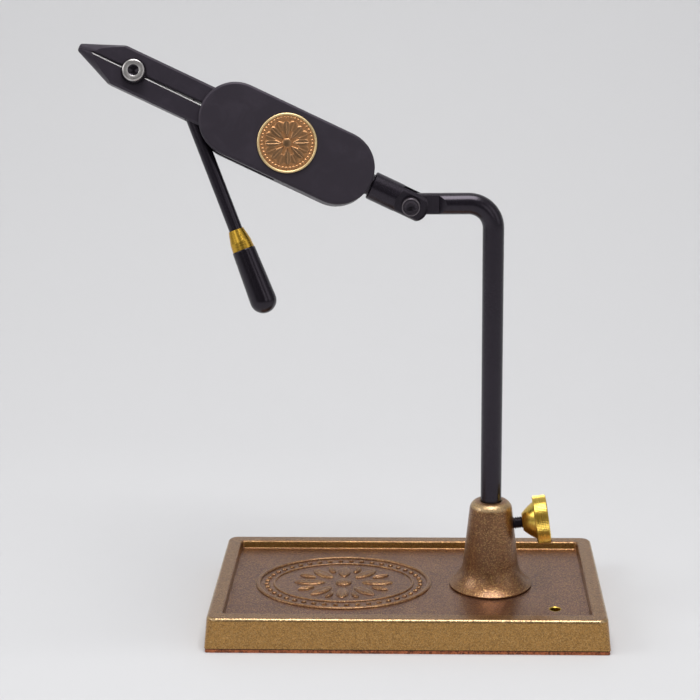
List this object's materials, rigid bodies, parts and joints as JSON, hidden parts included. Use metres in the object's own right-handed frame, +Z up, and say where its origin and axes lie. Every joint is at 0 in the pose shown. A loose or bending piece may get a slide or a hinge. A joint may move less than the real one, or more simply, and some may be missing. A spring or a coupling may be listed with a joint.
{
  "type": "fly tying vise",
  "caption": "Pedestal fly tying vise with lever-opened spring jaws in a rotary head, a tilting knuckle on a bent stem, and a cast tray base with a clamp screw.",
  "frame": {"origin": "centre of the underside of the pad under the base", "axes": "+Z up, the jaws point to -X, the head's front faces -Y"},
  "size_m": [0.232, 0.102, 0.2635],
  "materials": {
    "bronze_paint": "hammered bronze coat on cast metal",
    "cork_rubber": "matt cork and rubber",
    "brass": "polished",
    "black_steel": "satin black oxide",
    "black_aluminium": "satin black anodised",
    "plain_steel": "bright turned",
    "copper": "aged copper with a brighter rim",
    "black_gloss": "gloss black",
    "nylon": "natural nylon"
  },
  "bodies": {
    "base": {"base_plate": "bronze_paint", "base_pad": "cork_rubber", "accessory_bush": "brass", "pedestal": "bronze_paint", "pedestal_screws": "plain_steel"},
    "clamp_tip": {"clamp_pad": "brass"},
    "thumbscrew": {"thumbscrew_shank": "black_steel", "thumbscrew_knob": "brass"},
    "stem_foot": {"stem_end_plug": "nylon"},
    "stem": {"stem_rod": "black_steel"},
    "knuckle_body": {"knuckle": "black_steel", "knuckle_screw": "black_steel", "spindle_set_screw": "black_steel"},
    "head": {"spindle": "black_steel", "head_front_shell": "black_aluminium", "head_back_shell": "black_aluminium", "head_screws": "black_steel", "jaw_pins": "plain_steel", "medallion": "copper"},
    "top_jaw": {"upper_jaw": "black_steel"},
    "bottom_jaw": {"lower_jaw": "black_steel", "jaw_screw": "plain_steel", "jaw_screw_washer": "black_steel", "jaw_screw_nut": "plain_steel"},
    "lever": {"cam": "plain_steel", "lever_rod": "black_steel", "lever_ferrule": "brass", "lever_grip": "black_gloss"}
  },
  "joints": [
    {"name": "clamp_slide", "type": "slide", "parent": "base", "child": "clamp_tip", "axis": [0.9903, 0, 0.1392], "range_m": [0, 0.00212]},
    {"name": "thumbscrew_turn", "type": "hinge", "parent": "clamp_tip", "child": "thumbscrew", "pos_m": [0.0385, 0, 0.041], "axis": [0.9903, 0, 0.1392], "range_deg": [0, 720]},
    {"name": "stem_height", "type": "slide", "parent": "base", "child": "stem_foot", "axis": [0, 0, 1], "range_m": [0, 0.02]},
    {"name": "stem_swivel", "type": "hinge", "parent": "stem_foot", "child": "stem", "pos_m": [0.0385, 0, 0.0154], "axis": [0, 0, 1], "continuous": true},
    {"name": "head_tilt", "type": "hinge", "parent": "stem", "child": "knuckle_body", "pos_m": [0.0022, 0, 0.1924], "axis": [0, 1, 0], "range_deg": [-55.85, 44.15]},
    {"name": "head_spin", "type": "hinge", "parent": "knuckle_body", "child": "head", "pos_m": [0.0022, 0, 0.1924], "axis": [-0.8999, 0, 0.436], "continuous": true},
    {"name": "lever_squeeze", "type": "hinge", "parent": "head", "child": "lever", "pos_m": [-0.09652, 0, 0.24023], "axis": [0.1216, -0.9603, 0.2511], "range_deg": [0, 22], "stiffness_Nm_per_rad": 3},
    {"name": "top_jaw_open", "type": "hinge", "parent": "head", "child": "top_jaw", "pos_m": [-0.04242, 0.00145, 0.21957], "axis": [-0.1216, 0.9603, -0.2511], "range_deg": [0, 0.95]},
    {"name": "bottom_jaw_open", "type": "hinge", "parent": "head", "child": "bottom_jaw", "pos_m": [-0.04677, -0.00145, 0.21058], "axis": [0.1216, -0.9603, 0.2511], "range_deg": [0, 0.95]}
  ],
  "couplings": [
    {"joint": "thumbscrew_turn", "follows": "clamp_slide", "rad_per_m": 5937.1},
    {"joint": "lever_squeeze", "follows": "bottom_jaw_open", "ratio": 23.158},
    {"joint": "top_jaw_open", "follows": "bottom_jaw_open", "ratio": 1}
  ]
}
